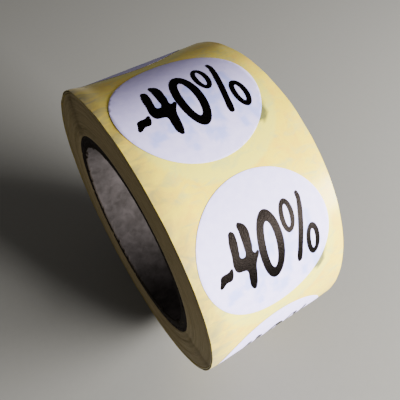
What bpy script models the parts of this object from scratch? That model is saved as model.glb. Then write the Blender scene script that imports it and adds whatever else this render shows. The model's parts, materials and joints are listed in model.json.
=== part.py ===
"""A roll of round paper labels on a glassine liner, wound on a spiral cardboard core.

The roll stands on its rim. +X runs along the core's axis, +Z is up, the labels read from
the -Y side, and the origin is on the resting surface under the middle of the roll.

The liner and its labels are one continuous web. A place on it is given by its winding
angle, which starts at the free end and grows inward, turn after turn. The angle is
measured round +X from +Z towards -Y, so 0 is the top, 90 degrees the front and
180 degrees the foot.
"""

import math

import bmesh
import bpy
from mathutils import Matrix, Vector

MM = 0.001
TURN = math.tau

# Label stock
LABEL_DIAMETER = 25.0 * MM
LABEL_GAP = 3.0 * MM
LABEL_SIDE_SHIFT = -0.5 * MM
LABEL_THICKNESS = 0.12 * MM
LINER_WIDTH = 29.0 * MM
LINER_THICKNESS = 0.12 * MM
LAYER_CLEARANCE = 0.08 * MM

# The wound roll
ROLL_RADIUS = 31.0 * MM
FIRST_LABEL_ANGLE = math.radians(257.2)
FREE_END_MARGIN = 0.5 * MM
STRETCH_GAP = 0.1 * MM
FOOT_HALF_ANGLE = math.radians(9.0)
BUNDLED_TURNS = 6

# Core
CORE_LENGTH = 28.6 * MM
BORE_RADIUS = 20.0 * MM
PLY_NAMES = ("core_inner_ply", "core_middle_ply", "core_outer_ply")
PLY_THICKNESS = 0.68 * MM
PLY_SEAM_GAP = 0.4 * MM
PLY_SEAM_SLANT = math.radians(54.0)
TAPE_LENGTH = 12.0 * MM
TAPE_WIDTH = 20.0 * MM
TAPE_THICKNESS = 0.1 * MM

# Facets of the curved sheets
FACET = math.radians(4.0)
DISC_SIDES = 48

# Which edge of an outer label stays down when it is peeled: +1 is the edge with the
# larger winding angle. The labels under the foot carry the roll and stay down.
PEEL_SIDE = {1: 1, 2: 1, 3: 1, 4: 1, 5: -1}

LABEL_PITCH = LABEL_DIAMETER + LABEL_GAP
TURN_PITCH = LINER_THICKNESS + LABEL_THICKNESS + 2 * LAYER_CLEARANCE
LABEL_RISE = LAYER_CLEARANCE + LABEL_THICKNESS
CORE_RADIUS = BORE_RADIUS + len(PLY_NAMES) * (PLY_THICKNESS + LAYER_CLEARANCE) - LAYER_CLEARANCE
PACK_INNER_RADIUS = CORE_RADIUS + TAPE_THICKNESS + 2 * LAYER_CLEARANCE
FREE_END = FIRST_LABEL_ANGLE - (LABEL_DIAMETER / 2 + FREE_END_MARGIN) / ROLL_RADIUS


# ---------------------------------------------------------------- the winding

def label_top_radius(angle):
    """Radius of the labels' outer face at a winding angle, before the foot is pressed."""
    return ROLL_RADIUS - TURN_PITCH * (angle - FREE_END) / TURN


def liner_top_radius(angle):
    """Radius of the liner's outer face at a winding angle, before the foot is pressed."""
    return label_top_radius(angle) - LABEL_RISE


def outermost(angle):
    """Bring a winding angle out to the first turn, where the roll's surface is."""
    return FREE_END + (angle - FREE_END) % TURN


AXIS_HEIGHT = label_top_radius(outermost(math.pi)) * math.cos(FOOT_HALF_ANGLE)


def pressed_radius(angle, radius):
    """Flatten a layer where the roll stands on it, less and less towards the core."""
    surface = label_top_radius(outermost(angle))
    from_foot = angle % TURN - math.pi
    if abs(from_foot) > FOOT_HALF_ANGLE:
        return radius
    dent = max(0.0, surface - AXIS_HEIGHT / math.cos(from_foot))
    fade = (radius - CORE_RADIUS) / (surface - CORE_RADIUS)
    return radius - dent * fade


def roll_point(across, angle, radius):
    """World position of a point on the roll."""
    return Vector((across, -radius * math.sin(angle), AXIS_HEIGHT + radius * math.cos(angle)))


def label_angles(turns):
    """Winding angles of the label centres, evenly spaced along the web."""
    angles = [FIRST_LABEL_ANGLE]
    while True:
        following = angles[-1] + LABEL_PITCH / liner_top_radius(angles[-1])
        if following > FREE_END + turns * TURN:
            return angles
        angles.append(following)


def after_label(angle):
    """Winding angle in the middle of the gap that follows a label."""
    return angle + LABEL_PITCH / 2 / liner_top_radius(angle)


# ---------------------------------------------------------------- scene helpers

def clear_scene():
    """Remove what a new file holds."""
    for item in list(bpy.data.objects):
        bpy.data.objects.remove(item)


def make_material(name, colour, roughness):
    """Make a plain Principled material."""
    material = bpy.data.materials.new(name)
    material.use_nodes = True
    shader = material.node_tree.nodes["Principled BSDF"]
    shader.inputs["Base Color"].default_value = (*colour, 1.0)
    shader.inputs["Roughness"].default_value = roughness
    shader.inputs["Metallic"].default_value = 0.0
    return material


def add_object(name, data, material, collection):
    """Put a mesh in the collection as a named object with one material."""
    data.materials.append(material)
    item = bpy.data.objects.new(name, data)
    collection.objects.link(item)
    return item


def move_origin(item, point):
    """Put an object's origin on its hinge without moving its shape."""
    item.data.transform(Matrix.Translation(-point))
    item.location = point


def hang_on(item, parent):
    """Parent an unturned object to another and keep its place."""
    item.parent = parent
    item.location = item.location - parent.location


# ---------------------------------------------------------------- sheets

def wrap_sheet(name, flat, thickness, flat_radius, radius_at, look, collection):
    """Roll a flat sheet on a cylinder and thicken it inward.

    flat holds the sheet in the XY plane: X is across the roll and Y the length along the
    web, measured at flat_radius. radius_at gives the radius of the outer face.
    """
    step = FACET * flat_radius
    lengths = [vert.co.y for vert in flat.verts]
    first_line = math.ceil(min(lengths) / step)
    last_line = math.floor(max(lengths) / step)
    for line in range(first_line, last_line + 1):
        everything = flat.verts[:] + flat.edges[:] + flat.faces[:]
        bmesh.ops.bisect_plane(
            flat, geom=everything, dist=1e-6, plane_co=(0, line * step, 0), plane_no=(0, 1, 0)
        )
    for vert in flat.verts:
        angle = vert.co.y / flat_radius
        vert.co = roll_point(vert.co.x, angle, radius_at(angle))
    bmesh.ops.reverse_faces(flat, faces=flat.faces)
    mesh = bpy.data.meshes.new(name)
    flat.to_mesh(mesh)
    flat.free()
    mesh.shade_smooth()
    mesh.set_sharp_from_angle(angle=math.radians(30.0))
    item = add_object(name, mesh, look, collection)
    wall = item.modifiers.new("thickness", "SOLIDIFY")
    wall.thickness = thickness
    wall.offset = -1.0
    return item


def flat_strip(width, start, end, slant=0.0):
    """A flat strip along Y. A slant shears it, so that its two ends lean alike."""
    strip = bmesh.new()
    shear = Matrix.Identity(4)
    shear[1][0] = math.tan(slant)
    size = Matrix.Diagonal((width, end - start, 1.0, 1.0))
    place = Matrix.Translation((0.0, (start + end) / 2, 0.0))
    bmesh.ops.create_grid(strip, x_segments=1, y_segments=1, size=0.5, matrix=shear @ place @ size)
    return strip


def flat_disc(diameter, across, along):
    """A flat round label."""
    disc = bmesh.new()
    bmesh.ops.create_circle(
        disc,
        cap_ends=True,
        segments=DISC_SIDES,
        radius=diameter / 2,
        matrix=Matrix.Translation((across, along, 0.0)),
    )
    return disc


def make_liner(name, start, end, look, collection):
    """One stretch of the liner, between two winding angles."""
    strip = flat_strip(LINER_WIDTH, start * ROLL_RADIUS, end * ROLL_RADIUS - STRETCH_GAP)
    return wrap_sheet(
        name,
        strip,
        LINER_THICKNESS,
        ROLL_RADIUS,
        lambda angle: pressed_radius(angle, liner_top_radius(angle)),
        look,
        collection,
    )


def make_label(name, centre, look, collection):
    """One round label at a winding angle."""
    radius = liner_top_radius(centre)
    disc = flat_disc(LABEL_DIAMETER, LABEL_SIDE_SHIFT, centre * radius)
    return wrap_sheet(
        name,
        disc,
        LABEL_THICKNESS,
        radius,
        lambda angle: pressed_radius(angle, label_top_radius(angle)),
        look,
        collection,
    )


# ---------------------------------------------------------------- sub-parts

def make_core(look, collection):
    """Spiral-wound board plies, each a strip whose ends meet in a slanted butt seam."""
    for number, name in enumerate(PLY_NAMES):
        radius = BORE_RADIUS + PLY_THICKNESS + number * (PLY_THICKNESS + LAYER_CLEARANCE)
        start = radius * TURN * number / len(PLY_NAMES)
        length = radius * TURN - PLY_SEAM_GAP / math.cos(PLY_SEAM_SLANT)
        strip = flat_strip(CORE_LENGTH, start, start + length, PLY_SEAM_SLANT)
        wrap_sheet(name, strip, PLY_THICKNESS, radius, lambda angle, r=radius: r, look, collection)


def make_start_tape(angle, look, collection):
    """The tape that holds the web's inner end on the core."""
    radius = CORE_RADIUS + LAYER_CLEARANCE + TAPE_THICKNESS
    middle = angle * radius
    strip = flat_strip(TAPE_WIDTH, middle - TAPE_LENGTH / 2, middle + TAPE_LENGTH / 2)
    wrap_sheet("start_tape", strip, TAPE_THICKNESS, radius, lambda _: radius, look, collection)


def pack_outer_radius(angle, start):
    """Outer face of the bundled web: one turn at the web's own pitch, then fat turns."""
    turns = (angle - start) / TURN
    if turns <= 1.0:
        return label_top_radius(angle)
    first_turn_end = label_top_radius(start + TURN)
    last_radius = PACK_INNER_RADIUS + TURN_PITCH
    bundle_pitch = (first_turn_end - last_radius) / (BUNDLED_TURNS - 1)
    return first_turn_end - bundle_pitch * (turns - 1.0)


def pack_inner_radius(angle, start):
    """Inner face of the bundled web, resting on its next turn or on the core."""
    return max(pack_outer_radius(angle + TURN, start) + LAYER_CLEARANCE, PACK_INNER_RADIUS)


def facet_angles(start, end):
    """The two given angles and every facet line between them."""
    lines = range(math.ceil(start / FACET + 0.1), math.floor(end / FACET - 0.1) + 1)
    return [start, *(line * FACET for line in lines), end]


def make_pack(start, look, collection):
    """The inner turns of the web, bundled into a spiral of fat turns down to the core."""
    end = start + BUNDLED_TURNS * TURN
    angles = facet_angles(start, end)
    outside = [(a, pressed_radius(a, pack_outer_radius(a, start))) for a in angles]
    inside = [(a, pressed_radius(a, pack_inner_radius(a, start))) for a in reversed(angles)]

    outline = bpy.data.curves.new("pack_outline", "CURVE")
    outline.dimensions = "2D"
    outline.fill_mode = "BOTH"
    outline.extrude = LINER_WIDTH / 2
    spline = outline.splines.new("POLY")
    points = outside + inside
    spline.points.add(len(points) - 1)
    for point, (angle, radius) in zip(spline.points, points):
        point.co = (-radius * math.sin(angle), radius * math.cos(angle), 0.0, 1.0)
    spline.use_cyclic_u = True

    guide = bpy.data.objects.new("pack_outline", outline)
    collection.objects.link(guide)
    bpy.context.view_layer.update()
    graph = bpy.context.evaluated_depsgraph_get()
    mesh = bpy.data.meshes.new_from_object(guide.evaluated_get(graph))
    bpy.data.objects.remove(guide)
    mesh.name = "wound_pack"
    mesh.materials.clear()

    work = bmesh.new()
    work.from_mesh(mesh)
    bmesh.ops.remove_doubles(work, verts=work.verts, dist=1e-6)
    bmesh.ops.recalc_face_normals(work, faces=work.faces)
    work.to_mesh(mesh)
    work.free()
    mesh.shade_smooth()
    mesh.set_sharp_from_angle(angle=math.radians(30.0))
    pack = add_object("wound_pack", mesh, look, collection)
    pack.rotation_euler = (math.pi / 2, 0.0, math.pi / 2)
    pack.location = (0.0, 0.0, AXIS_HEIGHT)
    return end


def peel_point(centre, side):
    """Point on a label's edge that it is peeled about, on its outer face."""
    angle = centre + side * LABEL_DIAMETER / 2 / liner_top_radius(centre)
    return roll_point(0.0, angle, pressed_radius(angle, label_top_radius(angle)))


def make_free_end(end, look, collection):
    """The last stretch of liner, which lifts off the roll about its inner end."""
    free_end = make_liner("free_end", FREE_END, end, look, collection)
    move_origin(free_end, roll_point(0.0, end, liner_top_radius(end)))
    return free_end


def build():
    """Build the whole roll."""
    clear_scene()
    parts = bpy.data.collections.new("label_roll")
    bpy.context.scene.collection.children.link(parts)
    paper = make_material("label_paper", (0.76, 0.74, 0.86), 0.6)
    glassine = make_material("liner_glassine", (0.87, 0.76, 0.42), 0.35)
    pack_edge = make_material("web_edge", (0.42, 0.35, 0.20), 0.7)
    board = make_material("core_board", (0.29, 0.25, 0.22), 0.9)
    tape = make_material("paper_tape", (0.62, 0.50, 0.33), 0.6)

    outer = label_angles(1)
    both = label_angles(2)
    free_end_hinge = after_label(outer[0])
    outer_wrap_end = after_label(outer[-1])
    second_wrap_end = after_label(both[-1])

    make_core(board, parts)
    pack_end = make_pack(second_wrap_end, pack_edge, parts)
    make_start_tape(pack_end, tape, parts)
    make_liner("second_wrap", outer_wrap_end, second_wrap_end, glassine, parts)
    make_liner("outer_wrap", free_end_hinge, outer_wrap_end, glassine, parts)
    free_end = make_free_end(free_end_hinge, glassine, parts)

    for number, centre in enumerate(outer, start=1):
        label = make_label(f"label_{number}", centre, paper, parts)
        if number in PEEL_SIDE:
            move_origin(label, peel_point(centre, PEEL_SIDE[number]))
        if number == 1:
            hang_on(label, free_end)
    for number, centre in enumerate(both[len(outer):], start=1):
        make_label(f"under_label_{number}", centre, paper, parts)


build()
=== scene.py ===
"""The finished look of a roll of round percent-off labels on a yellow glassine liner.

The roll is made the way it is converted in a factory: the liner, the labels and the print
are modelled flat, then wound. A flat sheet has X across the web, Y up the label as it is
read, and Z out of the paper. Winding turns Y into an angle about the core, and the angle
is counted from the top of the roll towards the front, one turn after another from the
free end inward. Lengths are in metres, and names ending in _mm are in millimetres.
"""

import json
import logging
import math
import random
from dataclasses import dataclass, field
from enum import Enum
from functools import cached_property
from typing import Callable

import bmesh
import bpy
from mathutils import Matrix, Vector, noise
from mathutils.bvhtree import BVHTree


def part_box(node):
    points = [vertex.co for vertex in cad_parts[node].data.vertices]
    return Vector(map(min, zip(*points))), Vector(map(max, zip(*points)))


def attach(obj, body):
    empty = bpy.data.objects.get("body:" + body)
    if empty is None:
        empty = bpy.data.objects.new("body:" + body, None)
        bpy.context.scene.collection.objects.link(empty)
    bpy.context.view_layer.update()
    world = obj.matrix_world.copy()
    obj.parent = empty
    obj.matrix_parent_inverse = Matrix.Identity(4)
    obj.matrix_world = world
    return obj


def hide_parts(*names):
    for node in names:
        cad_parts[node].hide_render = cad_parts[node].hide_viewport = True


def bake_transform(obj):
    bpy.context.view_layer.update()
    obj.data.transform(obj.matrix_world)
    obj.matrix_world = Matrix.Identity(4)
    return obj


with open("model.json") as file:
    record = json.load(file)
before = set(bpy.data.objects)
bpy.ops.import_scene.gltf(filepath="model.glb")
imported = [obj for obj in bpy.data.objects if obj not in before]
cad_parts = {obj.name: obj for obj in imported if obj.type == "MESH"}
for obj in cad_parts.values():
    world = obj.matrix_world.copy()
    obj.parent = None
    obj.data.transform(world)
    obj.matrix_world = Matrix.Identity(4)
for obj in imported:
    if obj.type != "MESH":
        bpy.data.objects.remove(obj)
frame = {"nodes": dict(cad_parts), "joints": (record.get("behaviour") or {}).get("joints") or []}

MM = 0.001
TURN = math.tau
CREASE = math.radians(50.0)
LOG = logging.getLogger("label_roll")

Inputs = dict[int | str, object]
Flat = tuple[float, float]


# ------------------------------------------------------------------ small tools

def linear(code: str) -> tuple[float, float, float, float]:
    """Turn an sRGB hex colour into linear RGBA.

    Args:
        code: Six hex digits, with or without a leading hash.

    Returns:
        Red, green, blue and an alpha of 1.
    """
    digits = code.lstrip("#")
    channels = [int(digits[place:place + 2], 16) / 255 for place in (0, 2, 4)]
    straight = [c / 12.92 if c <= 0.04045 else ((c + 0.055) / 1.055) ** 2.4 for c in channels]
    return (*straight, 1.0)


def feed(tree: bpy.types.NodeTree, node: bpy.types.Node, inputs: Inputs) -> None:
    """Fill or link a node's sockets.

    Args:
        tree: The node tree that holds the node.
        node: The node to feed.
        inputs: Socket name or number to a value, or to the output that feeds it.
    """
    for key, value in inputs.items():
        if isinstance(value, bpy.types.NodeSocket):
            tree.links.new(value, node.inputs[key])
        else:
            node.inputs[key].default_value = value


def add_node(tree: bpy.types.NodeTree, kind: str, inputs: Inputs | None = None,
             output: int | str = 0, **settings: object) -> bpy.types.NodeSocket:
    """Add a node, set its options, and feed its sockets.

    Args:
        tree: The node tree that gets the node.
        kind: The node's type, without the leading ShaderNode.
        inputs: What its sockets get.
        output: Which of its outputs is wanted.
        settings: The node's own options.

    Returns:
        The wanted output.
    """
    node = tree.nodes.new(f"ShaderNode{kind}")
    for key, value in settings.items():
        setattr(node, key, value)
    feed(tree, node, inputs or {})
    return node.outputs[output]


def smooth_step(value: float) -> float:
    """Ease a value from 0 to 1, and hold it outside."""
    share = min(1.0, max(0.0, value))
    return share * share * (3 - 2 * share)


def margin(share: float, start: float) -> float:
    """Ease from 0 at a starting share of the way out to 1 at the rim."""
    return smooth_step((share - start) / (1 - start))


def cut(bm: bmesh.types.BMesh, place: Vector, normal: Vector) -> None:
    """Cut a sheet along one plane and keep both sides."""
    everything = bm.verts[:] + bm.edges[:] + bm.faces[:]
    bmesh.ops.bisect_plane(bm, geom=everything, dist=1e-7, plane_co=place, plane_no=normal)


def thicken_down(bm: bmesh.types.BMesh, thickness: float) -> None:
    """Give a flat grid a thickness that lies under zero height.

    Args:
        bm: The grid.
        thickness: How thick it gets.
    """
    bmesh.ops.solidify(bm, geom=bm.faces[:], thickness=thickness)
    high = max(vert.co.z for vert in bm.verts)
    bmesh.ops.translate(bm, verts=bm.verts, vec=(0.0, 0.0, -high))


def thicken_up(bm: bmesh.types.BMesh, thickness: float) -> None:
    """Give flat faces of any outline a thickness that lies over zero height.

    Args:
        bm: The faces.
        thickness: How thick they get.
    """
    raised = bmesh.ops.extrude_face_region(bm, geom=bm.faces[:], use_keep_orig=True)
    top = [item for item in raised["geom"] if isinstance(item, bmesh.types.BMVert)]
    bmesh.ops.translate(bm, verts=top, vec=(0.0, 0.0, thickness))
    bmesh.ops.recalc_face_normals(bm, faces=bm.faces)


def finish_piece(bm: bmesh.types.BMesh, name: str,
                 material: bpy.types.Material) -> bpy.types.Object:
    """Turn a bmesh into a named, smooth-shaded object.

    Args:
        bm: The finished shape, which is freed.
        name: The piece's name.
        material: Its material.

    Returns:
        The new object, at the origin.
    """
    mesh = bpy.data.meshes.new(name)
    bm.to_mesh(mesh)
    bm.free()
    mesh.shade_smooth()
    mesh.set_sharp_from_angle(angle=CREASE)
    mesh.materials.append(material)
    piece = bpy.data.objects.new(name, mesh)
    bpy.context.scene.collection.objects.link(piece)
    return piece


# ------------------------------------------------------------------ the winding

@dataclass(frozen=True)
class Winding:
    """Where the web lies on the roll, measured from the frame.

    The radii are those of the labels' outer face. Under the foot every layer is pressed
    flat by the roll's weight, less and less towards the core. One rim of the outer turns
    has been knocked loose about one angle, from a share of the half width outwards.
    """

    axis_height: float
    free_end: float
    outer_radius: float
    core_radius: float
    half_width: float
    turn_pitch: float = 0.40 * MM
    foot_half_angle: float = math.radians(9.0)
    facet: float = math.radians(1.0)
    loose: float = 0.62 * MM
    loose_at: float = math.radians(326.0)
    loose_spread: float = math.radians(13.0)
    loose_from: float = 0.72

    @classmethod
    def from_frame(cls) -> "Winding":
        """Measure the winding on the CAD nodes and joints.

        Returns:
            The winding.
        """
        low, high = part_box("core_outer_ply")
        axis_height = (low.z + high.z) / 2
        core_radius = (high.z - low.z) / 2
        start, _ = angle_span("free_end", axis_height)
        pivot = Vector(joint("label_3_peel")["pos_m"])
        radius = math.hypot(pivot.y, pivot.z - axis_height)
        turns = (angle_of(pivot, axis_height) + TURN - start) / TURN
        half_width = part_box("outer_wrap")[1].x
        return cls(axis_height, start, radius + cls.turn_pitch * turns, core_radius, half_width)

    @property
    def width(self) -> float:
        """Width of the web."""
        return 2 * self.half_width

    def label_top(self, angle: float) -> float:
        """Radius of a label's outer face at a winding angle, before pressing."""
        return self.outer_radius - self.turn_pitch * (angle - self.free_end) / TURN

    def pressed(self, angle: float, radius: float) -> float:
        """Radius of a layer after the roll's weight has flattened its foot.

        Args:
            angle: Winding angle.
            radius: The layer's radius before pressing.

        Returns:
            The radius that is left.
        """
        from_foot = angle % TURN - math.pi
        if abs(from_foot) > self.foot_half_angle:
            return radius
        surface = self.label_top(self.free_end + (angle - self.free_end) % TURN)
        foot = self.axis_height / math.cos(from_foot)
        fade = (radius - self.core_radius) / (surface - self.core_radius)
        return radius - max(0.0, surface - foot) * fade

    def loosened(self, across: float, angle: float) -> float:
        """Height by which one rim of the outer turns has been knocked loose.

        Args:
            across: Place across the web.
            angle: Winding angle.

        Returns:
            The extra height on the outermost turn.
        """
        if across > 0.0:
            return 0.0
        turned = (angle - self.loose_at + math.pi) % TURN - math.pi
        rim = margin(abs(across) / self.half_width, self.loose_from)
        return self.loose * rim * math.exp(-(turned / self.loose_spread) ** 2)

    def point(self, across: float, angle: float, radius: float) -> Vector:
        """World position of a point given across the web, by angle and by radius."""
        return Vector((across, -radius * math.sin(angle),
                       self.axis_height + radius * math.cos(angle)))


def joint(name: str) -> dict:
    """The frame's joint of that name."""
    return next(item for item in frame["joints"] if item["name"] == name)


def angle_of(place: Vector, axis_height: float) -> float:
    """Angle of a place about the core, from the top towards the front, from 0 to a turn."""
    return math.atan2(-place.y, place.z - axis_height) % TURN


def angle_span(node: str, axis_height: float) -> tuple[float, float]:
    """Lowest and highest angle that a CAD node covers, counted on past a turn if need be.

    Args:
        node: Name of a node that covers less than a turn.
        axis_height: Height of the core's axis.

    Returns:
        The two angles.
    """
    angles = sorted(angle_of(vert.co, axis_height) for vert in frame["nodes"][node].data.vertices)
    gaps = [after - before for before, after in zip(angles, angles[1:])]
    widest = max(gaps)
    place = gaps.index(widest)
    if widest > TURN - (angles[-1] - angles[0]):
        return angles[place + 1], angles[place] + TURN
    return angles[0], angles[-1]


@dataclass
class Sheet:
    """A flat sheet that gets wound on the roll.

    A sliver is a share of a facet, and the skin is the depth of what counts as the face.
    """

    winding: Winding
    centre: float
    bm: bmesh.types.BMesh = field(default_factory=bmesh.new)
    sliver: float = 0.02
    skin: float = 0.03 * MM

    @property
    def flat_radius(self) -> float:
        """Radius at which flat length and wound length agree."""
        return self.winding.label_top(self.centre)

    def angle(self, up: float) -> float:
        """Winding angle of a flat height."""
        return self.centre - up / self.flat_radius

    def score(self) -> None:
        """Cut the sheet along every facet line, so that layers bend at the same places.

        A line that would leave a sliver at an end of the sheet is left out.
        """
        facet = self.winding.facet
        heights = [vert.co.y for vert in self.bm.verts]
        first = math.ceil(self.angle(max(heights)) / facet + self.sliver)
        last = math.floor(self.angle(min(heights)) / facet - self.sliver)
        for line in range(first, last + 1):
            height = (self.centre - line * facet) * self.flat_radius
            cut(self.bm, Vector((0.0, height, 0.0)), Vector((0.0, 1.0, 0.0)))

    def stain(self, below: "TurnBelow | None") -> None:
        """Keep how much of the labels and print below shows at each corner.

        Args:
            below: What lies one turn below, or None where nothing shows through.
        """
        label_layer = self.bm.verts.layers.float.new("label_below")
        ink_layer = self.bm.verts.layers.float.new("ink_below")
        if below is None:
            return
        face = max(vert.co.z for vert in self.bm.verts) - self.skin
        for vert in self.bm.verts:
            if vert.co.z > face:
                vert[label_layer], vert[ink_layer] = below.at(vert.co.x, self.angle(vert.co.y))

    def map_flat(self) -> None:
        """Keep the flat place of every corner as a UV map in millimetres."""
        layer = self.bm.loops.layers.uv.new("flat_mm")
        for face in self.bm.faces:
            for loop in face.loops:
                loop[layer].uv = (loop.vert.co.x / MM, loop.vert.co.y / MM)

    def wind(self, under: float, curl: Callable[[float, float, float], float]) -> None:
        """Wind the sheet on the roll.

        Args:
            under: How far the sheet's zero height lies under the labels' outer face.
            curl: Extra height as a function of the flat place and the winding angle.
        """
        for vert in self.bm.verts:
            angle = self.angle(vert.co.y)
            height = vert.co.z + curl(vert.co.x, vert.co.y, angle)
            radius = self.winding.pressed(angle, self.winding.label_top(angle) - under) + height
            vert.co = self.winding.point(vert.co.x, angle, radius)


# ------------------------------------------------------------------ finishes

@dataclass(frozen=True)
class Finish:
    """What a surface is made of. Each kind adds its own nodes in paint()."""

    name: str

    def material(self) -> bpy.types.Material:
        """Make the finish's material.

        Returns:
            The material, with its shader fed.
        """
        made = bpy.data.materials.new(self.name)
        made.use_nodes = True
        tree = made.node_tree
        feed(tree, tree.nodes["Principled BSDF"], self.paint(tree))
        return made

    def paint(self, tree: bpy.types.NodeTree) -> Inputs:
        """Add the finish's nodes to a tree, and give what the shader's sockets get."""
        raise NotImplementedError


@dataclass(frozen=True)
class LabelPaper(Finish):
    """Coated white label paper: matte and faintly lavender.

    The eye sees a soft mottle of the paper's density, and the print of the label below
    as a pale blue shadow, because two thin papers and the liner let it through. The
    cut edge and the sticky side are duller and browner, from adhesive and from painted
    shade, and draw a thin line round it.
    """

    name: str = "label_paper_matt_coated"
    face: str = "#dcd3ff"
    mottle: str = "#beb5ee"
    below: str = "#a2aaf0"
    adhesive_and_edge_shade: str = "#8f8468"
    mottle_mm: float = 1.3
    patch_mm: float = 2.222
    fibre_mm: float = 0.22
    fibre_height: float = 0.01 * MM

    def paint(self, tree: bpy.types.NodeTree) -> Inputs:
        """Add the paper's mottle, the print below and the fibre grain.

        Args:
            tree: The material's nodes.

        Returns:
            What the shader's sockets get.
        """
        flat = add_node(tree, "UVMap", uv_map="flat_mm")
        mottle, patch, fibre = (
            add_node(tree, "TexNoise", {"Vector": flat, "Scale": 1 / size, "Detail": detail})
            for size, detail in ((self.mottle_mm, 4.0), (self.patch_mm, 3.0), (self.fibre_mm, 3.0)))
        depth = add_node(tree, "MapRange", {
            "Value": patch, "From Min": 0.3, "From Max": 0.56, "To Max": 0.85})
        # The cut rim is browned, partly as adhesive and partly as painted shade that draws a dark line
        # round the label.
        printed, sticky_and_edge_shade = (add_node(tree, "Attribute", output="Fac", attribute_name=name)
                           for name in ("ink_below", "sticky_side_and_edge_shade"))
        seen = add_node(tree, "Math", {0: printed, 1: depth}, operation="MULTIPLY")
        colour = linear(self.face)
        for share, tint in ((mottle, self.mottle), (seen, self.below), (sticky_and_edge_shade, self.adhesive_and_edge_shade)):
            colour = add_node(tree, "Mix", {0: share, 6: colour, 7: linear(tint)},
                              output=2, data_type="RGBA")
        bump = add_node(tree, "Bump", {
            "Height": fibre, "Strength": 0.15, "Distance": self.fibre_height})
        return {"Base Color": colour, "Normal": bump, "Roughness": 0.6, "Specular IOR Level": 0.3}


@dataclass(frozen=True)
class PrintingInk(Finish):
    """Black flexographic ink, whose satin sheen is brown and speckled by the paper's grain."""

    name: str = "printing_ink_black"
    film: str = "#010101"
    thin: str = "#0c0807"
    sheen: str = "#ffe2d2"
    speck_mm: float = 0.22
    speck_height: float = 0.05 * MM

    def paint(self, tree: bpy.types.NodeTree) -> Inputs:
        """Add the ink's specks and its uneven gloss.

        Args:
            tree: The material's nodes.

        Returns:
            What the shader's sockets get.
        """
        flat = add_node(tree, "UVMap", uv_map="flat_mm")
        speck = add_node(tree, "TexNoise", {
            "Vector": flat, "Scale": 1 / self.speck_mm, "Detail": 2.0})
        share = add_node(tree, "MapRange", {"Value": speck, "From Min": 0.48, "From Max": 0.72})
        colour = add_node(tree, "Mix", {
            0: share, 6: linear(self.film), 7: linear(self.thin)}, output=2, data_type="RGBA")
        gloss = add_node(tree, "MapRange", {
            "Value": speck, "From Min": 0.4, "From Max": 0.6, "To Min": 0.2, "To Max": 0.38})
        bump = add_node(tree, "Bump", {
            "Height": speck, "Strength": 0.9, "Distance": self.speck_height})
        return {"Base Color": colour, "Normal": bump, "Roughness": gloss,
                "Specular IOR Level": 0.028, "Specular Tint": linear(self.sheen)}


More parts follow.
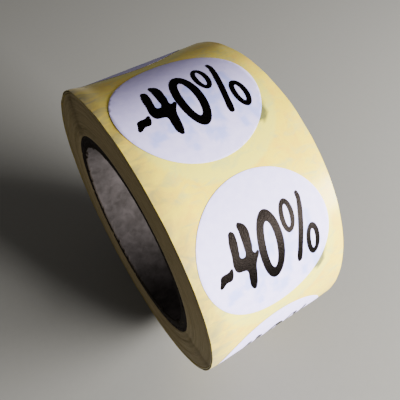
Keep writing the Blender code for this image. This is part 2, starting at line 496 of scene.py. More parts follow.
@dataclass(frozen=True)
class Glassine(Finish):
    """Silicone-coated yellow glassine: smooth, satin and a little see-through.

    The eye sees cloudy paper with a few long streaks, paler and greener where a label
    lies under it, that label's print as a grey-green shadow, a pale haze at a glancing
    angle, and one rim darkened by dirt and by painted shade.
    """

    name: str = "glassine_siliconised_yellow"
    face: str = "#f0d622"
    deep: str = "#eac42c"
    over_label: str = "#e0d850"
    over_ink: str = "#4e5236"
    cool: str = "#b4bb74"
    soil_and_shade: str = "#857a4c"
    haze: str = "#fff0d2"
    edge_mm: float = 14.5
    soil_and_shade_mm: float = 5.0
    cloud_mm: float = 4.545
    wisp_mm: float = 2.0
    grain_mm: float = 0.625
    grain_height: float = 0.03 * MM
    streak_mm: float = 0.7
    streak_length_mm: float = 25.0

    def paint(self, tree: bpy.types.NodeTree) -> Inputs:
        """Add the clouding, what shows through, the soiled rim and the streaks.

        Args:
            tree: The material's nodes.

        Returns:
            What the shader's sockets get.
        """
        flat = add_node(tree, "UVMap", uv_map="flat_mm")
        cloud = add_node(tree, "TexNoise", {
            "Vector": flat, "Scale": 1 / self.cloud_mm, "Detail": 6.0, "Roughness": 0.8,
            "Distortion": 0.4})
        depth = add_node(tree, "MapRange", {"Value": cloud, "From Min": 0.42, "From Max": 0.62})
        crease = add_node(tree, "Mapping", {
            "Vector": flat, "Rotation": (0.0, 0.0, 0.9), "Scale": (0.55, 0.95, 1.0)})
        wisp = add_node(tree, "TexNoise", {
            "Vector": crease, "Scale": 1 / self.wisp_mm, "Detail": 5.0, "Distortion": 1.2})
        trace = add_node(tree, "MapRange", {
            "Value": wisp, "From Min": 0.5, "From Max": 0.7, "To Max": 0.6})
        veil, shadow = (
            add_node(tree, "Math", {
                0: add_node(tree, "Attribute", output="Fac", attribute_name=name),
                1: strength}, operation="MULTIPLY")
            for name, strength in (("label_below", 0.8), ("ink_below", 0.9)))
        place = add_node(tree, "SeparateXYZ", {0: flat})
        # Dirt and painted shade: the near rim is darkened towards the soil colour in wispy patches.
        rim = add_node(tree, "MapRange", {
            "Value": place, "From Min": self.soil_and_shade_mm - self.edge_mm,
            "From Max": 0.1 - self.edge_mm, "To Max": 0.9})
        patchy = add_node(tree, "Math", {0: wisp, 1: 1.6}, operation="MULTIPLY")
        dirt_and_shade = add_node(tree, "Math", {0: rim, 1: patchy}, operation="MULTIPLY", use_clamp=True)
        colour = linear(self.face)
        for share, tint in ((depth, self.deep), (veil, self.over_label), (trace, self.cool),
                            (dirt_and_shade, self.soil_and_shade), (shadow, self.over_ink)):
            colour = add_node(tree, "Mix", {0: share, 6: colour, 7: linear(tint)},
                              output=2, data_type="RGBA")
        along = add_node(tree, "Mapping", {
            "Vector": flat, "Scale": (1 / self.streak_mm, 1 / self.streak_length_mm, 1.0)})
        streak = add_node(tree, "TexNoise", {"Vector": along, "Scale": 1.0, "Detail": 2.0})
        grain = add_node(tree, "TexNoise", {
            "Vector": flat, "Scale": 1 / self.grain_mm, "Detail": 4.0})
        relief = add_node(tree, "Math", {0: streak, 1: 0.4, 2: grain}, operation="MULTIPLY_ADD")
        bump = add_node(tree, "Bump", {
            "Height": relief, "Strength": 0.35, "Distance": self.grain_height})
        return {"Base Color": colour, "Normal": bump, "Roughness": 0.27,
                "Specular IOR Level": 0.25, "Sheen Weight": 0.3, "Sheen Roughness": 0.45,
                "Sheen Tint": linear(self.haze)}


@dataclass(frozen=True)
class WebEdge(Finish):
    """The slit edges of many turns of liner and labels.

    The eye sees fine lines, because the slit paper is pale, the gaps between turns are
    dark, and the turns lie in uneven bunches.
    """

    name: str = "glassine_slit_edge"
    face: str = "#c2b088"
    deep: str = "#8a7c58"
    dust_mm: float = 2.857

    def paint(self, tree: bpy.types.NodeTree) -> Inputs:
        """Shade the turns unevenly, turn by turn.

        Args:
            tree: The material's nodes.

        Returns:
            What the shader's sockets get.
        """
        flat = add_node(tree, "UVMap", uv_map="flat_mm")
        turn = add_node(tree, "Attribute", output="Fac", attribute_name="turn_tone")
        dust = add_node(tree, "TexNoise", {
            "Vector": flat, "Scale": 1 / self.dust_mm, "Detail": 3.0})
        shade = add_node(tree, "Math", {0: dust, 1: 0.6, 2: turn}, operation="MULTIPLY_ADD")
        depth = add_node(tree, "MapRange", {"Value": shade, "From Min": 0.3, "From Max": 1.15})
        colour = add_node(tree, "Mix", {
            0: depth, 6: linear(self.deep), 7: linear(self.face)}, output=2, data_type="RGBA")
        return {"Base Color": colour, "Roughness": 0.7, "Specular IOR Level": 0.2}


@dataclass(frozen=True)
class CoreBoard(Finish):
    """Recycled greyboard with sawn ends.

    The eye sees rough grey-beige board with pale and dark fibres, and ends browned and
    furred by the saw and darkened with painted shade.
    """

    name: str = "greyboard_recycled"
    face: str = "#413c3c"
    dark: str = "#2d2928"
    sawn_and_shade: str = "#241e17"
    cloud_mm: float = 5.0
    fleck_mm: float = 1.6
    fleck_height: float = 0.06 * MM

    def paint(self, tree: bpy.types.NodeTree) -> Inputs:
        """Add the board's clouding, flecks, sawn ends with painted shade, and fibre grain.

        Args:
            tree: The material's nodes.

        Returns:
            What the shader's sockets get.
        """
        place = add_node(tree, "TexCoord", output="Object")
        cloud = add_node(tree, "TexNoise", {
            "Vector": place, "Scale": 1 / (self.cloud_mm * MM), "Detail": 3.0})
        fleck = add_node(tree, "TexNoise", {
            "Vector": place, "Scale": 1 / (self.fleck_mm * MM), "Detail": 4.0, "Distortion": 0.5})
        shade = add_node(tree, "Math", {0: cloud, 1: fleck}, operation="ADD")
        depth = add_node(tree, "MapRange", {"Value": shade, "From Min": 0.75, "From Max": 1.25})
        # The ends are browned by the saw and further darkened with painted shade.
        wear_and_shade = add_node(tree, "Attribute", output="Fac", attribute_name="end_wear_and_shade")
        uneven = add_node(tree, "Math", {0: fleck, 1: 0.8, 2: wear_and_shade}, operation="MULTIPLY_ADD")
        worn_and_shaded = add_node(tree, "MapRange", {"Value": uneven, "From Min": 0.6, "From Max": 1.2})
        colour = linear(self.dark)
        for share, tint in ((depth, self.face), (worn_and_shaded, self.sawn_and_shade)):
            colour = add_node(tree, "Mix", {0: share, 6: colour, 7: linear(tint)},
                              output=2, data_type="RGBA")
        bump = add_node(tree, "Bump", {
            "Height": fleck, "Strength": 0.5, "Distance": self.fleck_height})
        return {"Base Color": colour, "Normal": bump, "Roughness": 0.95, "Specular IOR Level": 0.15}


@dataclass(frozen=True)
class KraftTape(Finish):
    """Brown kraft tape: dull, with short fibres along the web."""

    name: str = "kraft_tape_brown"
    face: str = "#b08d62"
    dark: str = "#94734b"
    fibre_mm: float = 0.3

    def paint(self, tree: bpy.types.NodeTree) -> Inputs:
        """Add the tape's fibres.

        Args:
            tree: The material's nodes.

        Returns:
            What the shader's sockets get.
        """
        place = add_node(tree, "TexCoord", output="Object")
        fibre = add_node(tree, "TexNoise", {
            "Vector": place, "Scale": 1 / (self.fibre_mm * MM), "Detail": 3.0})
        colour = add_node(tree, "Mix", {
            0: fibre, 6: linear(self.face), 7: linear(self.dark)}, output=2, data_type="RGBA")
        return {"Base Color": colour, "Roughness": 0.8}


@dataclass(frozen=True)
class PlainTable(Finish):
    """A matte pale table top."""

    name: str = "table_matt_pale"
    face: str = "#797874"
    grain_mm: float = 1.5

    def paint(self, tree: bpy.types.NodeTree) -> Inputs:
        """Set one soft tone with a faint grain.

        Args:
            tree: The material's nodes.

        Returns:
            What the shader's sockets get.
        """
        place = add_node(tree, "TexCoord", output="Object")
        grain = add_node(tree, "TexNoise", {
            "Vector": place, "Scale": 1 / (self.grain_mm * MM), "Detail": 3.0})
        tone = add_node(tree, "MapRange", {"Value": grain, "To Min": 0.97, "To Max": 1.03})
        colour = add_node(tree, "Mix", {
            0: 1.0, 6: linear(self.face), 7: tone}, output=2, data_type="RGBA",
            blend_type="MULTIPLY")
        return {"Base Color": colour, "Roughness": 0.7, "Specular IOR Level": 0.2}


class Look(Enum):
    """The record's material slots, each with the finish that fills it."""

    PAPER = "label_paper", LabelPaper()
    INK = "black_ink", PrintingInk()
    LINER = "liner_glassine", Glassine()
    EDGE = "web_edge", WebEdge()
    BOARD = "core_board", CoreBoard()
    TAPE = "paper_tape", KraftTape()

    def __init__(self, slot: str, finish: Finish) -> None:
        """Keep the slot's name and its finish."""
        self.slot, self.finish = slot, finish

    @cached_property
    def material(self) -> bpy.types.Material:
        """The finish's material, made once."""
        return self.finish.material()

    def dress(self, bm: bmesh.types.BMesh, name: str, node: str = "") -> bpy.types.Object:
        """Turn a bmesh into a piece that has this look.

        Args:
            bm: The finished shape, which is freed.
            name: The piece's name.
            node: The CAD node that it replaces, if it does.

        Returns:
            The new piece.
        """
        piece = finish_piece(bm, name, self.material)
        if node:
            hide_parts(node)
        return piece


# ------------------------------------------------------------------ labels

@dataclass(frozen=True)
class Figures:
    """The figures on a label, as brush strokes in millimetres about the label's centre."""

    tilt_deg: float = 5.0
    dash: tuple[Flat, ...] = (
        (-9.9, -2.75), (-9.65, -1.6), (-9.3, -0.8), (-8.8, -0.65), (-7.9, -0.65), (-7.1, -0.4),
        (-7.05, -0.9), (-7.35, -1.9), (-7.7, -2.3), (-8.7, -2.3), (-9.5, -2.75),
    )
    four: tuple[Flat, ...] = (
        (-6.75, -0.6), (-6.5, 1.3), (-6.0, 4.2), (-5.4, 5.15), (-4.9, 4.9), (-4.75, 3.6),
        (-5.1, 1.3), (-5.15, 0.55), (-4.75, 0.25), (-4.35, 0.35), (-4.1, 1.8), (-3.95, 4.3),
        (-3.7, 5.85), (-3.1, 5.6), (-2.5, 4.8), (-2.55, 1.8), (-2.6, 0.1), (-2.0, 0.25),
        (-1.85, -0.15), (-2.45, -1.2), (-2.85, -2.0), (-3.2, -3.7), (-3.7, -5.7), (-4.1, -6.2),
        (-4.7, -5.6), (-4.8, -3.7), (-4.8, -2.2), (-5.3, -1.95), (-6.35, -1.6),
    )
    slash: tuple[Flat, ...] = (
        (7.85, 5.9), (7.45, 4.4), (6.3, 0.3), (5.2, -3.6), (4.75, -5.6), (4.95, -6.2),
        (5.5, -6.2), (5.8, -5.6), (6.3, -3.6), (7.4, 0.3), (8.3, 4.3), (8.3, 5.1),
    )
    zero: tuple[float, ...] = (0.62, -0.3, 2.45, 6.15, 1.45, 2.05)
    upper_ring: tuple[float, ...] = (4.85, 2.85, 1.4, 2.95, 0.9, 1.0)
    lower_ring: tuple[float, ...] = (8.55, -3.4, 1.42, 3.0, 0.95, 1.15)

    def draw(self) -> bmesh.types.BMesh:
        """Draw all figures flat, as open faces.

        Returns:
            A bmesh of the strokes, in metres.
        """
        bm = bmesh.new()
        for outline in (self.dash, self.four, self.slash):
            self.add_stroke(bm, outline)
        for ring in (self.zero, self.upper_ring, self.lower_ring):
            self.add_ring(bm, *ring)
        return bm

    def reach(self) -> Callable[[float, float], float]:
        """Measure distances to the print.

        Returns:
            A function from a flat place to its distance from the nearest ink, in metres.
        """
        drawing = self.draw()
        tree = BVHTree.FromBMesh(drawing)
        drawing.free()
        return lambda across, up: tree.find_nearest(Vector((across, up, 0.0)))[3]

    @staticmethod
    def add_stroke(bm: bmesh.types.BMesh, outline: tuple[Flat, ...]) -> None:
        """Fill a smooth closed outline through a few points.

        Args:
            bm: The drawing.
            outline: The points, in millimetres.
        """
        curve = bpy.data.curves.new("stroke", "CURVE")
        curve.dimensions = "2D"
        curve.fill_mode = "BOTH"
        curve.resolution_u = 5
        spline = curve.splines.new("BEZIER")
        spline.bezier_points.add(len(outline) - 1)
        for point, (across, up) in zip(spline.bezier_points, outline):
            point.co = (across * MM, up * MM, 0.0)
            point.handle_left_type = point.handle_right_type = "AUTO"
        spline.use_cyclic_u = True
        guide = bpy.data.objects.new("stroke", curve)
        bpy.context.scene.collection.objects.link(guide)
        graph = bpy.context.evaluated_depsgraph_get()
        filled = bpy.data.meshes.new_from_object(guide.evaluated_get(graph))
        bm.from_mesh(filled)
        bpy.data.objects.remove(guide)
        bpy.data.meshes.remove(filled)

    def add_ring(self, bm: bmesh.types.BMesh, across: float, up: float, half_width: float,
                 half_height: float, side: float, end: float) -> None:
        """Add a slanted oval ring.

        Args:
            bm: The drawing.
            across: The ring's centre, sideways, in millimetres.
            up: The ring's centre, upwards.
            half_width: Half the outer width.
            half_height: Half the outer height.
            side: Width of the stroke at the sides.
            end: Width of the stroke at the top and bottom.
        """
        loops: list[bmesh.types.BMEdge] = []
        lean = Matrix.Rotation(math.radians(-self.tilt_deg), 4, "Z")
        place = Matrix.Translation((across * MM, up * MM, 0.0)) @ lean
        for wide, high in ((half_width, half_height), (half_width - side, half_height - end)):
            size = Matrix.Diagonal((wide * MM, high * MM, 1.0, 1.0))
            made = bmesh.ops.create_circle(bm, segments=40, radius=1.0, matrix=place @ size)
            loops += {edge for vert in made["verts"] for edge in vert.link_edges}
        bmesh.ops.bridge_loops(bm, edges=loops)


@dataclass
class TurnBelow:
    """What lies one turn below a place on the roll: labels and their print."""

    winding: Winding
    reach: Callable[[float, float], float]
    diameter: float
    across: float
    centres: list[float]
    label_blur: float = 0.5 * MM
    ink_blur: float = 0.38 * MM
    creep: Flat = (0.6 * MM, 1.2 * MM)

    def at(self, across: float, angle: float) -> tuple[float, float]:
        """Find what shows through at a place.

        Args:
            across: Place across the web.
            angle: Winding angle of the sheet that is seen through.

        Returns:
            How much of a label and how much ink lies below, each from 0 to 1.
        """
        below = angle + TURN
        nearest = min(self.centres, key=lambda centre: abs(centre - below))
        side = across - self.across - self.creep[0]
        up = (nearest - below) * self.winding.label_top(below) - self.creep[1]
        rim = math.hypot(side, up) - self.diameter / 2
        label = 1.0 - smooth_step(rim / self.label_blur + 0.5)
        ink = 1.0 - smooth_step(self.reach(side, up) / self.ink_blur)
        return label, ink


@dataclass
class Label:
    """One round label with its print, on one turn of the roll.

    The sticky side's browning is fainter inside than round the rim, where it is partly
    painted shade that draws a dark line round the label, and the print sinks a little
    into the paper.
    """

    winding: Winding
    node: str
    centre: float
    across: float
    diameter: float
    hidden: bool = False
    thickness: float = 0.055 * MM
    under: float = 0.13 * MM
    ink: float = 0.008 * MM
    ink_bite: float = 0.002 * MM
    cut_edge: float = 0.015 * MM
    lift: float = 0.01 * MM
    lift_from: float = 0.72
    browning: float = 0.3

    @property
    def columns(self) -> int:
        """How many columns of faces lie on each side of the middle."""
        return 6 if self.hidden else 20

    def curl(self, across: float, up: float, angle: float) -> float:
        """Height of the label over the plain winding: it follows the liner's loose rim.

        Args:
            across: Place across the web.
            up: Flat height about the label's centre.
            angle: Winding angle.

        Returns:
            The extra height.
        """
        if self.hidden:
            return 0.0
        side, high = (across - self.across) / self.diameter * 2, up / self.diameter * 2
        rim = margin(math.hypot(side, high), self.lift_from)
        return self.winding.loosened(across, angle) + self.lift * rim * rim * (0.55 - 0.3 * side)

    def build(self, figures: Figures, below: TurnBelow | None) -> list[bpy.types.Object]:
        """Make the label and its print.

        Args:
            figures: What is printed.
            below: What lies one turn below the label, or None.

        Returns:
            The paper and the ink.
        """
        return [self.build_paper(below), self.build_print(figures)]

    def build_paper(self, below: TurnBelow | None) -> bpy.types.Object:
        """Make the paper disc.

        Args:
            below: What lies one turn below the label, or None.

        Returns:
            The paper.
        """
        disc = Sheet(self.winding, self.centre)
        radius = self.diameter / 2
        bmesh.ops.create_circle(disc.bm, cap_ends=True, segments=120, radius=radius,
                                matrix=Matrix.Translation((self.across, 0.0, 0.0)))
        thicken_up(disc.bm, self.thickness)
        upper = [edge for edge in disc.bm.edges if all(vert.co.z > 0.0 for vert in edge.verts)]
        bmesh.ops.bevel(disc.bm, geom=upper, offset=self.cut_edge, segments=2, profile=0.5,
                        affect="EDGES", material=-1)
        for step in range(1 - self.columns, self.columns):
            place = self.across + step * radius / self.columns
            cut(disc.bm, Vector((place, 0.0, 0.0)), Vector((1.0, 0.0, 0.0)))
        disc.score()
        disc.map_flat()
        disc.stain(below)
        # Browning of the sticky side: full round the cut rim, where it is partly painted shade, and
        # fainter inside.
        sticky_and_edge_shade = disc.bm.verts.layers.float.new("sticky_side_and_edge_shade")
        for vert in disc.bm.verts:
            if vert.co.z < 0.9 * self.thickness:
                inner = math.hypot(vert.co.x - self.across, vert.co.y) < 0.98 * radius
                vert[sticky_and_edge_shade] = self.browning if inner else 1.0
        disc.wind(self.under, self.curl)
        return Look.PAPER.dress(disc.bm, f"{self.node}_paper", self.node)

    def build_print(self, figures: Figures) -> bpy.types.Object:
        """Make the print, as a thin film on the paper.

        Args:
            figures: What is printed.

        Returns:
            The ink.
        """
        film = Sheet(self.winding, self.centre, figures.draw())
        bmesh.ops.translate(film.bm, verts=film.bm.verts, vec=(self.across, 0.0, 0.0))
        bmesh.ops.triangulate(film.bm, faces=film.bm.faces)
        bmesh.ops.recalc_face_normals(film.bm, faces=film.bm.faces)
        thicken_up(film.bm, self.ink)
        film.score()
        film.map_flat()
        film.wind(self.under - self.thickness - self.ink_bite, self.curl)
        return Look.INK.dress(film.bm, f"{self.node}_print")


# ------------------------------------------------------------------ the liner

@dataclass
class Liner:
    """One stretch of the liner, from one winding angle to another.

    It ripples a little, and its edges are knocked from a share of the half width outwards.
    A wave has a width, a length, a seed and a share of the ripple.
    """

    winding: Winding
    name: str
    node: str
    start: float
    end: float
    below: TurnBelow | None = None
    flare: float = 0.0
    thickness: float = 0.11 * MM
    under: float = 0.12 * MM
    ripple: float = 0.015 * MM
    waves: tuple[tuple[float, ...], ...] = ((7 * MM, 11 * MM, 3.0, 0.6), (2.2 * MM, 3.5 * MM, 9.0, 0.2))
    flare_from: float = 0.87
    flare_length: float = 4.5 * MM

    def rippling(self, across: float, up: float, angle: float) -> float:
        """Slight slackness of the liner, and edges that have been knocked in handling.

        Args:
            across: Place across the web.
            up: Flat height about the stretch's start.
            angle: Winding angle.

        Returns:
            The extra height.
        """
        along = self.start * self.winding.outer_radius - up
        slack = sum(share * noise.noise(Vector((across / wide, along / length, seed)))
                    for wide, length, seed, share in self.waves)
        knock = noise.noise(Vector((math.copysign(40.0, across), along / self.flare_length, 0.0)))
        rim = margin(abs(across) / self.winding.half_width, self.flare_from)
        return (self.ripple * (slack - 0.4) + rim * self.flare * (0.6 * knock - 0.2)
                + self.winding.loosened(across, angle))

    def build(self) -> bpy.types.Object:
        """Make the stretch of liner.

        Returns:
            The stretch.
        """
        sheet = Sheet(self.winding, self.start)
        length = (self.end - self.start) * sheet.flat_radius
        size = Matrix.Diagonal((self.winding.width, length, 1.0, 1.0))
        place = Matrix.Translation((0.0, -length / 2, 0.0))
        columns = 48 if self.below else 12
        bmesh.ops.create_grid(sheet.bm, x_segments=columns, y_segments=1, size=0.5,
                              matrix=place @ size)
        sheet.score()
        thicken_down(sheet.bm, self.thickness)
        bmesh.ops.recalc_face_normals(sheet.bm, faces=sheet.bm.faces)
        sheet.map_flat()
        sheet.stain(self.below)
        sheet.wind(self.under, self.rippling)
        return Look.LINER.dress(sheet.bm, self.name, self.node)


@dataclass
class WoundTurns:
    """The inner turns of the web, as one long strip wound down to the core.

    The turns wander sideways, sag in the middle of the web, follow the loose rim less and
    less, and stand in slack waves near the foot, where the roll has been squeezed.
    """

    winding: Winding
    start: float
    thickness: float = 0.10 * MM
    pitch: float = 0.20 * MM
    clearance: float = 0.12 * MM
    steps_per_turn: int = 120
    shoulder: float = 0.38
    wander: float = 0.26 * MM
    loose_turns: float = 9.0
    sag: float = 0.2 * MM
    slack_height: float = 0.28 * MM
    slack_at: float = math.radians(160.0)
    slack_spread: float = math.radians(26.0)
    slack_depth: float = 2.2 * MM
    slack_reach: float = 1.6 * MM
    slack_waves: float = 14.0
    seed: int = 5

    def build(self) -> bpy.types.Object:
        """Make the wound strip.

        Returns:
            The strip.
        """
        width = self.winding.width
        first = self.winding.label_top(self.start) - self.clearance
        last = self.winding.core_radius + self.clearance
        turns = round((first - last) / self.pitch)
        pitch = (first - last) / turns
        offset = self.edge_offsets(turns)
        draw = random.Random(self.seed + 1)
        tones = [draw.uniform(0.25, 0.7) for _ in range(turns + 2)]
        bm = bmesh.new()
        bmesh.ops.create_grid(bm, x_segments=4, y_segments=turns * self.steps_per_turn, size=0.5)
        flat = bm.loops.layers.uv.new("flat_mm")
        tone = bm.verts.layers.float.new("turn_tone")
        # The grid's inner columns lie a quarter of the width from the middle.
        for vert in bm.verts:
            if abs(vert.co.x) < self.shoulder:
                vert.co.x *= self.shoulder / 0.25
        for face in bm.faces:
            for loop in face.loops:
                along = (0.5 - loop.vert.co.y) * turns * TURN * self.winding.core_radius
                loop[flat].uv = (loop.vert.co.x * width / MM, along / MM)
        for vert in bm.verts:
            side, done = vert.co.x, (0.5 - vert.co.y) * turns
            angle, turn = self.start + done * TURN, int(done)
            vert[tone] = tones[turn] + (tones[turn + 1] - tones[turn]) * (done - turn)
            radius = first - pitch * done
            radius += self.slack(angle, radius) - self.sag * (1 - (2 * side) ** 2)
            rim = self.winding.loosened(side * width, angle)
            radius = self.winding.pressed(angle, radius + rim * math.exp(-done / self.loose_turns))
            vert.co = self.winding.point(side * width + offset(done), angle, radius)
        piece = Look.EDGE.dress(bm, "wound_turns", "wound_pack")
        wall = piece.modifiers.new("thickness", "SOLIDIFY")
        wall.thickness = self.thickness
        wall.offset = -1.0
        return piece

    def slack(self, angle: float, radius: float) -> float:
        """Height of the loose waves in the inner turns.

        Args:
            angle: Winding angle.
            radius: Radius before the waves.

        Returns:
            The extra height.
        """
        turned = (angle - self.slack_at + math.pi) % TURN - math.pi
        near = math.exp(-(turned / self.slack_spread) ** 2)
        depth = radius - self.winding.core_radius - self.slack_depth
        deep = math.exp(-(depth / self.slack_reach) ** 2)
        return self.slack_height * near * deep * math.cos(angle * self.slack_waves)

    def edge_offsets(self, turns: int) -> Callable[[float], float]:
        """Sideways wander of the web from turn to turn.

        Args:
            turns: How many turns there are.

        Returns:
            A function from turns wound to the offset in metres.
        """
        draw = random.Random(self.seed)
        values, drift = [], 0.0
        for _ in range(turns + 2):
            drift = 0.8 * drift + draw.uniform(-0.5, 0.5)
            share = drift * 0.6 + draw.uniform(-0.35, 0.35)
            values.append(self.wander * max(-1.0, min(1.0, share)))

        def offset(done: float) -> float:
            """Offset after a number of turns."""
            turn = int(done)
            share = smooth_step(done - turn)
            return values[turn] * (1 - share) + values[turn + 1] * share

        return offset


# ------------------------------------------------------------------ the core

@dataclass
class CorePly:
    """One ply of the core: a strip of board wound once, with a slanted butt seam.

    The saw tore both ends, browned them, and left fur on the innermost ply. The browned
    ends are partly painted shade.
    """

    winding: Winding
    name: str
    node: str
    number: int
    outer_radius: float
    length: float
    thickness: float = 0.68 * MM
    seam_gap: float = 0.4 * MM
    seam_slant: float = math.radians(54.0)
    around: int = 480
    end_cuts: tuple[float, ...] = (0.25 * MM, 0.6 * MM, 1.1 * MM)
    browned_and_shaded: float = 0.5 * MM
    torn: float = 0.7 * MM
    fur: float = 0.9 * MM

    def build(self) -> bpy.types.Object:
        """Make the ply, with the fibres that the saw pulled out at both ends.

        Returns:
            The ply.
        """
        girth = self.outer_radius * TURN
        length = girth - self.seam_gap / math.cos(self.seam_slant)
        bm = bmesh.new()
        shear = Matrix.Identity(4)
        shear[1][0] = math.tan(self.seam_slant)
        size = Matrix.Diagonal((self.length, length, 1.0, 1.0))
        place = Matrix.Translation((0.0, girth * self.number / 3 + length / 2, 0.0))
        bmesh.ops.create_grid(bm, x_segments=14, y_segments=self.around, size=0.5,
                              matrix=shear @ place @ size)
        for side in (-1.0, 1.0):
            for inset in self.end_cuts:
                across = side * (self.length / 2 - inset)
                cut(bm, Vector((across, 0.0, 0.0)), Vector((1.0, 0.0, 0.0)))
        thicken_down(bm, self.thickness)
        wear_and_shade = bm.verts.layers.float.new("end_wear_and_shade")
        innermost = self.number == 0
        for vert in bm.verts:
            angle = vert.co.y / self.outer_radius
            inside = -vert.co.z / self.thickness
            torn = self.tear(vert.co.x, angle)
            # Browned ends, partly painted shade: darker towards each end, and on the innermost ply
            # darker towards the bore.
            vert[wear_and_shade] = self.near_end(vert.co.x, self.browned_and_shaded) * (
                0.55 + 0.45 * inside if innermost else 0.45)
            radius = self.outer_radius + vert.co.z - (torn * self.fur * inside if innermost else 0.0)
            vert.co = self.winding.point(vert.co.x * (1.0 - 0.018 * torn), angle, radius)
        bmesh.ops.recalc_face_normals(bm, faces=bm.faces)
        if bm.calc_volume(signed=True) < 0.0:
            bmesh.ops.reverse_faces(bm, faces=bm.faces)
        return Look.BOARD.dress(bm, self.name, self.node)

    def near_end(self, across: float, reach: float) -> float:
        """Ease from 0 at a reach from the nearer end to 1 at the end."""
        return smooth_step((abs(across) - self.length / 2 + reach) / reach)

    def tear(self, across: float, angle: float) -> float:
        """How far the end is torn at a place, from 0 on the clean board to about 1.

        Args:
            across: Place along the core.
            angle: Angle about the core.

        Returns:
            The share of a full tear.
        """
        side = math.copysign(9.0, across) + self.number * 5.0
        coarse, fine = (noise.noise(Vector((math.sin(angle) * lumps, math.cos(angle) * lumps, side)))
                        for lumps in (7.0, 23.0))
        ragged = 2.8 * max(0.0, fine - 0.1) * smooth_step(0.5 + 1.4 * coarse)
        return self.near_end(across, self.torn) * (0.12 + ragged)


# ------------------------------------------------------------------ the studio

@dataclass
class Studio:
    """Camera, light and floor.

    The eye is a place about the core's middle, in roll radii, and aim and key_from are
    directions.
    """

    winding: Winding
    eye: tuple[float, float, float] = (-0.974, -1.634, 2.584)
    aim: tuple[float, float, float] = (0.3291, 0.5044, -0.7983)
    lens: float = 41.17
    key_from: tuple[float, float, float] = (0.58, -0.72, 0.235)
    key_distance: float = 0.34
    key_width: float = 0.28
    key_height: float = 0.12
    key_power: float = 9.2
    room_colour: str = "#d8d5d1"
    room_strength: float = 0.25
    floor_half_size: float = 1.5

    @property
    def centre(self) -> Vector:
        """The core's middle."""
        return Vector((0.0, 0.0, self.winding.axis_height))

    def build(self) -> None:
        """Set up the floor, the lights and the camera."""
        self.add_floor()
        self.add_lights()
        self.add_camera()

    def add_floor(self) -> None:
        """Lay a table top under the roll."""
        bm = bmesh.new()
        bmesh.ops.create_grid(bm, x_segments=4, y_segments=4, size=self.floor_half_size)
        floor = finish_piece(bm, "table_top", PlainTable().material())

    def add_lights(self) -> None:
        """Hang one large window light and let the room fill the shadows."""
        towards = Vector(self.key_from).normalized()
        lamp = bpy.data.lights.new("window", "AREA")
        lamp.shape = "RECTANGLE"
        lamp.size = self.key_width
        lamp.size_y = self.key_height
        lamp.energy = self.key_power
        lamp.color = (1.0, 0.99, 0.97)
        window = bpy.data.objects.new("window", lamp)
        window.location = self.centre + towards * self.key_distance
        window.rotation_euler = towards.to_track_quat("Z", "Y").to_euler()
        bpy.context.scene.collection.objects.link(window)
        room = bpy.data.worlds.new("room")
        room.use_nodes = True
        glow = room.node_tree.nodes["Background"]
        glow.inputs["Color"].default_value = linear(self.room_colour)
        glow.inputs["Strength"].default_value = self.room_strength
        bpy.context.scene.world = room

    def add_camera(self) -> None:
        """Place the camera."""
        lens = bpy.data.cameras.new("camera")
        lens.lens = self.lens
        lens.sensor_width = 36.0
        lens.clip_start = 0.005
        camera = bpy.data.objects.new("camera", lens)
        camera.location = self.centre + Vector(self.eye) * self.winding.outer_radius
        camera.rotation_euler = Vector(self.aim).to_track_quat("-Z", "Y").to_euler()
        bpy.context.scene.collection.objects.link(camera)
        bpy.context.scene.camera = camera


# ------------------------------------------------------------------ the whole roll

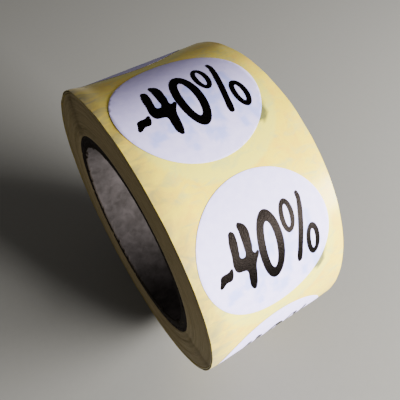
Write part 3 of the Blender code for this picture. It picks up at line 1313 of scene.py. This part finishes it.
@dataclass
class LabelRoll:
    """The roll: core, wound turns, liner and labels.

    A peeling label's bend is given as an angle, 9 mm of a 31 mm rim, and the lifting free
    end's as a short stretch past its hinge; no piece is bent.
    """

    winding: Winding
    figures: Figures
    label_count: int = 7
    label_pitch: float = 28.0 * MM
    label_bend: float = 9.0 / 31.0
    end_bend: float = 1.4 * MM
    knocked: float = 0.25 * MM
    labels: list[Label] = field(init=False)
    below: TurnBelow = field(init=False)

    def __post_init__(self) -> None:
        """Find every label of the two outer turns."""
        self.labels = [self.find_label(number, hidden) for hidden in (False, True)
                       for number in range(1, self.label_count + 1)]
        first = self.labels[0]
        self.below = TurnBelow(self.winding, self.figures.reach(), first.diameter, first.across,
                               [label.centre for label in self.labels if label.hidden])

    def build(self) -> None:
        """Make every piece, and set each one that rides the roll on it."""
        self.build_core()
        self.build_web()
        for label in self.labels:
            below = None if label.hidden else self.below
            for piece in label.build(self.figures, below):
                self.attach(piece, label.node)
            LOG.info("label: %s at %.1f degrees", label.node, math.degrees(label.centre))

    def build_core(self) -> None:
        """Make the plies of the core, and dress the tape that holds the web on it."""
        for number, layer in enumerate(("inner", "middle", "outer")):
            node = f"core_{layer}_ply"
            low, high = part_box(node)
            ply = CorePly(self.winding, f"core_{layer}_board", node, number,
                          (high.z - low.z) / 2, high.x - low.x).build()
            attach(ply, "roll")
            LOG.info("core: %s", ply.name)
        tape = frame["nodes"]["start_tape"]
        tape.data.materials.clear()
        tape.data.materials.append(Look.TAPE.material)

    def build_web(self) -> None:
        """Make the liner's stretches and the wound turns under them."""
        pivot = Vector(joint("free_end_lift")["pos_m"])
        hinge = angle_of(pivot, self.winding.axis_height)
        outer_end = self.stretch_end("label_7", hinge)
        second_end = self.stretch_end("under_label_7", outer_end)
        stretches = [
            Liner(self.winding, "liner_free_end", "free_end", self.winding.free_end, hinge,
                  self.below, self.knocked),
            Liner(self.winding, "liner_outer_turn", "outer_wrap", hinge, outer_end, self.below,
                  self.knocked),
            Liner(self.winding, "liner_second_turn", "second_wrap", outer_end, second_end),
        ]
        for stretch in stretches:
            piece = stretch.build()
            if stretch.node == "free_end":
                bend = self.end_bend / self.winding.outer_radius
                self.bend_across(piece, hinge, hinge - bend)
            else:
                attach(piece, "roll")
            LOG.info("web: %s", piece.name)
        turns = WoundTurns(self.winding, second_end).build()
        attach(turns, "roll")
        LOG.info("web: %s", turns.name)

    def stretch_end(self, label: str, start: float) -> float:
        """Winding angle at which a stretch of liner ends, one turn or so after its start.

        Args:
            label: The CAD node of the last label on the stretch.
            start: The winding angle where the stretch starts.

        Returns:
            The winding angle of its end, half a gap past the label's edge.
        """
        low, high = angle_span(label, self.winding.axis_height)
        middle = (low + high) / 2
        after = middle + (math.floor((start - middle) / TURN) + 1) * TURN
        gap = self.label_pitch / 2 / self.winding.label_top(after)
        while after + gap < start + 0.8 * TURN:
            after += TURN
        return after + gap

    def find_label(self, number: int, hidden: bool) -> Label:
        """Find where a label lies.

        Args:
            number: Which label, counted from the free end.
            hidden: True for the second turn.

        Returns:
            The label, not yet built.
        """
        node = f"under_label_{number}" if hidden else f"label_{number}"
        low, high = angle_span(node, self.winding.axis_height)
        box_low, box_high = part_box(node)
        centre = (low + high) / 2
        while centre < self.winding.free_end + (TURN if hidden else 0.0):
            centre += TURN
        return Label(self.winding, node, centre, (box_low.x + box_high.x) / 2,
                     box_high.x - box_low.x, hidden)

    def attach(self, piece: bpy.types.Object, node: str) -> None:
        """Bake a peeling label's piece where it lies, or let any other piece ride the roll.

        Args:
            piece: The label's paper or print.
            node: The label's CAD node.
        """
        for item in frame["joints"]:
            if item["child"] == node:
                hinge = angle_of(Vector(item["pos_m"]), self.winding.axis_height)
                side = -1.0 if item["axis"][0] > 0 else 1.0
                self.bend_across(piece, hinge, hinge + side * self.label_bend)
                return
        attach(piece, "roll")

    def bend_across(self, piece: bpy.types.Object, start: float,
                    end: float) -> None:
        """Bake a piece's transform; the piece is neither bent nor set on a body.

        Args:
            piece: The piece.
            start: Angle where the bend starts.
            end: Angle where it ends.
        """
        radius = self.winding.outer_radius
        self.winding.point(0.0, start, radius)
        self.winding.point(0.0, end, radius)
        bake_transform(piece)


def main() -> None:
    """Build the roll and its studio."""
    logging.basicConfig(level=logging.INFO, format="%(message)s")
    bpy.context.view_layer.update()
    winding = Winding.from_frame()
    LOG.info("outer radius %.3f mm", winding.outer_radius / MM)
    Studio(winding).build()
    LabelRoll(winding, Figures()).build()


if __name__ == "__main__":
    main()
